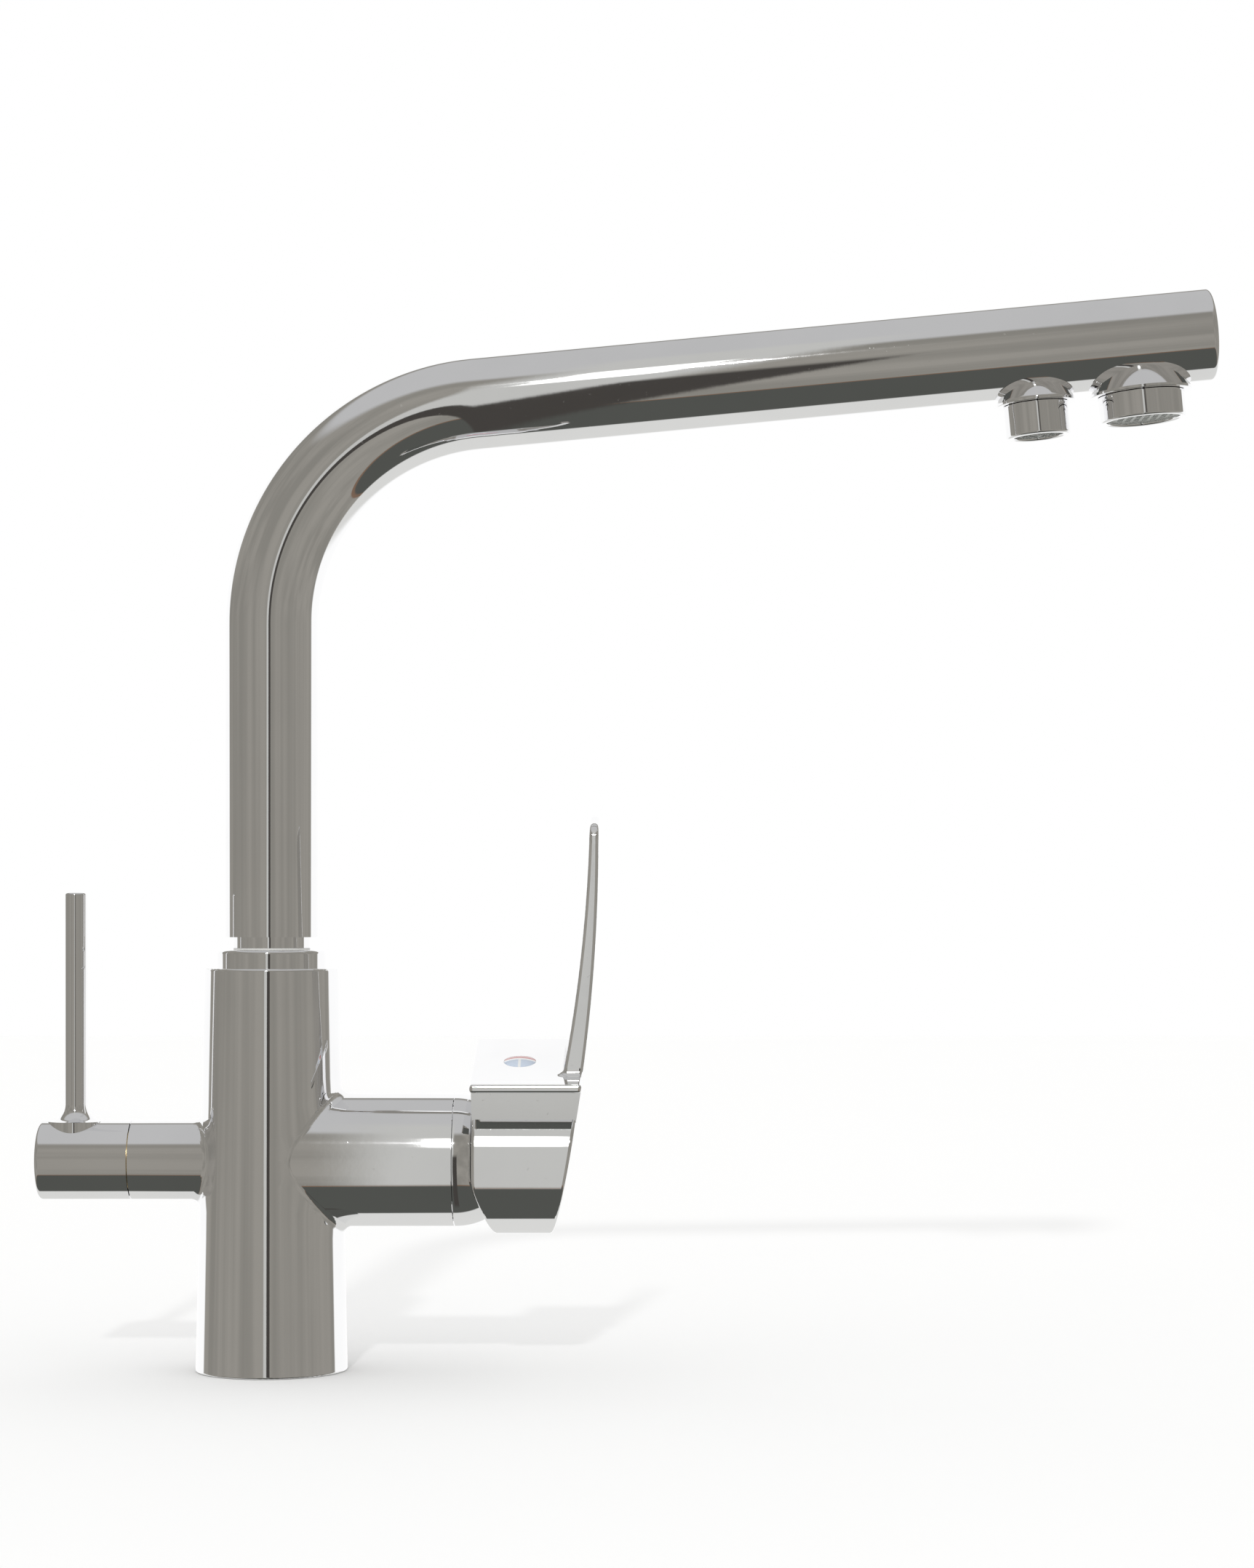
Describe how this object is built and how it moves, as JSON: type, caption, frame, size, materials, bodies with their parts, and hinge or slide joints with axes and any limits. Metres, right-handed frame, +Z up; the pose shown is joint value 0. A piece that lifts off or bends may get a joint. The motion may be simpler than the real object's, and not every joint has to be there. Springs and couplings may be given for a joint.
{
  "type": "kitchen mixer tap with a filtered water way",
  "caption": "Chrome kitchen mixer tap with a swivelling high spout, a side lever handle and a separate lever and outlet for filtered drinking water.",
  "frame": {"origin": "centre of the body's underside, where it stands on the worktop", "axes": "+Z up along the body, +X along the thick mixer arm and, at rest, along the spout; the user stands on the -Y side"},
  "size_m": [0.3559, 0.0624, 0.3273],
  "materials": {
    "polished_chrome": "polished",
    "brass": "machined",
    "stainless": "satin",
    "black_rubber": "matt",
    "grey_plastic": "moulded",
    "white_plastic": "moulded",
    "ceramic": "lapped",
    "marker_plastic": "gloss, one half red and one half blue"
  },
  "bodies": {
    "body": {"body_casting": "polished_chrome", "base_gasket": "black_rubber", "spout_collar": "polished_chrome", "slip_ring": "white_plastic", "centre_spigot": "brass", "spigot_seal": "black_rubber", "port_seals": "black_rubber", "cartridge_base": "white_plastic", "fixed_disc": "ceramic", "cartridge_housing": "white_plastic", "cartridge_nut": "brass", "cartridge_cover": "polished_chrome", "valve_headwork": "brass", "valve_seat_seal": "black_rubber", "valve_fixed_disc": "ceramic"},
    "spout": {"spout_tube": "polished_chrome", "spout_end_cap": "polished_chrome", "spout_insert": "brass", "pivot_seals": "black_rubber", "retaining_ring": "stainless", "filtered_water_tube": "white_plastic", "mixed_outlet_ring": "polished_chrome", "mixed_outlet_washer": "black_rubber", "mixed_outlet_insert": "grey_plastic", "filter_outlet_ring": "polished_chrome", "filter_outlet_washer": "black_rubber", "filter_outlet_insert": "grey_plastic"},
    "rotor": {"rotor": "white_plastic", "pivot_pin": "stainless"},
    "lever": {"stem": "brass", "mixer_handle": "polished_chrome", "indicator_button": "marker_plastic", "handle_screw": "stainless"},
    "disc": {"moving_disc": "ceramic", "disc_carrier": "white_plastic"},
    "filter_valve": {"valve_spindle": "brass", "valve_turning_disc": "ceramic", "spindle_seal": "black_rubber", "spindle_clip": "stainless", "filter_knob": "polished_chrome", "filter_lever": "polished_chrome", "knob_screw": "stainless"}
  },
  "joints": [
    {"name": "spout_swivel", "type": "hinge", "parent": "body", "child": "spout", "pos_m": [0, 0, 0.125], "axis": [0, 0, 1], "continuous": true},
    {"name": "mixer_turn", "type": "hinge", "parent": "body", "child": "rotor", "pos_m": [0.056, 0, 0.0635], "axis": [1, 0, 0], "range_deg": [-63, 27]},
    {"name": "mixer_lift", "type": "hinge", "parent": "rotor", "child": "lever", "pos_m": [0.056, 0, 0.0635], "axis": [0, 0.9511, 0.309], "range_deg": [0, 25]},
    {"name": "disc_travel", "type": "slide", "parent": "rotor", "child": "disc", "axis": [0, -0.309, 0.9511], "range_m": [0, 0.0053]},
    {"name": "filter_turn", "type": "hinge", "parent": "body", "child": "filter_valve", "pos_m": [-0.042, 0, 0.0635], "axis": [1, 0, 0], "range_deg": [0, 90]}
  ],
  "couplings": [
    {"joint": "disc_travel", "follows": "mixer_lift", "m_per_rad": 0.0119}
  ]
}
